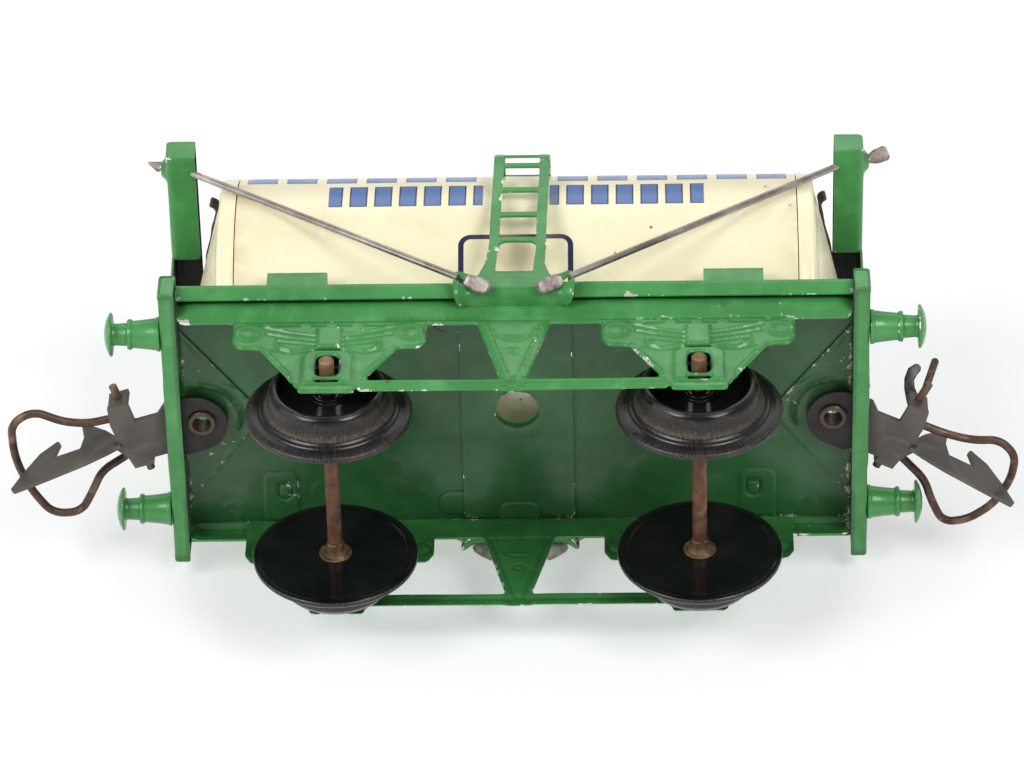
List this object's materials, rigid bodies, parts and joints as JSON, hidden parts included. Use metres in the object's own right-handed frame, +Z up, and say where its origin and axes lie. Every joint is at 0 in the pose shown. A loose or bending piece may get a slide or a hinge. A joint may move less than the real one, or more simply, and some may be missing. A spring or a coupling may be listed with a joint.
{
  "type": "model tank wagon",
  "caption": "Tinplate model tank wagon for 32 mm track: a cylinder tank between end frames on a pressed underframe, with flanged wheels, buffers, hook and loop couplings.",
  "frame": {"origin": "midway between the axles, on the centre line, at the height of the lowest point of the wheel flanges", "axes": "+X along the wagon towards its right end, +Y across it, +Z up"},
  "size_m": [0.1703, 0.0614, 0.0906],
  "materials": {
    "green_enamel": "gloss enamel, worn at the edges",
    "cream_enamel": "gloss enamel with printed blue lining",
    "black_enamel": "gloss black, worn tread",
    "rusty_steel": "brown oxide",
    "drawbar_steel": "blued, dull",
    "loop_wire": "browned wire",
    "strap_steel": "dark, rusty",
    "stay_wire": "bright wire, tarnished"
  },
  "bodies": {
    "underframe": {"buffer_front_left": "green_enamel", "buffer_front_right": "green_enamel", "buffer_rear_left": "green_enamel", "buffer_rear_right": "green_enamel", "cross_strap": "green_enamel", "deck_plate": "green_enamel", "drawbar_eyelet_left": "rusty_steel", "drawbar_eyelet_right": "rusty_steel", "end_frame_left": "green_enamel", "end_frame_right": "green_enamel", "filler_cap": "cream_enamel", "gusset_left": "green_enamel", "gusset_right": "green_enamel", "headstock_left": "green_enamel", "headstock_right": "green_enamel", "ladder_front": "green_enamel", "ladder_rear": "green_enamel", "saddle_left": "green_enamel", "saddle_right": "green_enamel", "side_frame_front": "green_enamel", "side_frame_rear": "green_enamel", "solebar_front": "green_enamel", "solebar_rear": "green_enamel", "stay_front_left": "stay_wire", "stay_front_right": "stay_wire", "stay_rear_left": "stay_wire", "stay_rear_right": "stay_wire", "tank_barrel": "cream_enamel", "tank_end_left": "cream_enamel", "tank_end_right": "cream_enamel", "tank_strap_left": "strap_steel", "tank_strap_right": "strap_steel", "tray_floor": "green_enamel"},
    "wheelset_left": {"axle_left": "rusty_steel", "wheel_left_front": "black_enamel", "wheel_left_rear": "black_enamel", "wheel_collar_left_front": "rusty_steel", "wheel_collar_left_rear": "rusty_steel"},
    "coupling_left": {"drawbar_left": "drawbar_steel"},
    "loop_left": {"coupling_loop_left": "loop_wire"},
    "wheelset_right": {"axle_right": "rusty_steel", "wheel_right_front": "black_enamel", "wheel_right_rear": "black_enamel", "wheel_collar_right_front": "rusty_steel", "wheel_collar_right_rear": "rusty_steel"},
    "coupling_right": {"drawbar_right": "drawbar_steel"},
    "loop_right": {"coupling_loop_right": "loop_wire"}
  },
  "joints": [
    {"name": "wheelset_left_spin", "type": "hinge", "parent": "underframe", "child": "wheelset_left", "pos_m": [-0.0304, 0, 0.01375], "axis": [0, 1, 0], "continuous": true},
    {"name": "wheelset_right_spin", "type": "hinge", "parent": "underframe", "child": "wheelset_right", "pos_m": [0.0304, 0, 0.01375], "axis": [0, 1, 0], "continuous": true},
    {"name": "coupling_left_swing", "type": "hinge", "parent": "underframe", "child": "coupling_left", "pos_m": [-0.053, 0, 0.0319], "axis": [0, 0, 1], "range_deg": [-9.5, 42]},
    {"name": "coupling_right_swing", "type": "hinge", "parent": "underframe", "child": "coupling_right", "pos_m": [0.053, 0, 0.0319], "axis": [0, 0, 1], "range_deg": [-51, 0.5]},
    {"name": "loop_left_lift", "type": "hinge", "parent": "coupling_left", "child": "loop_left", "pos_m": [-0.0647, 0.0038, 0.0341], "axis": [0.309, 0.9511, 0], "range_deg": [0, 60]},
    {"name": "loop_right_lift", "type": "hinge", "parent": "coupling_right", "child": "loop_right", "pos_m": [0.06396, 0.00558, 0.0341], "axis": [0.454, -0.891, 0], "range_deg": [0, 60]}
  ]
}
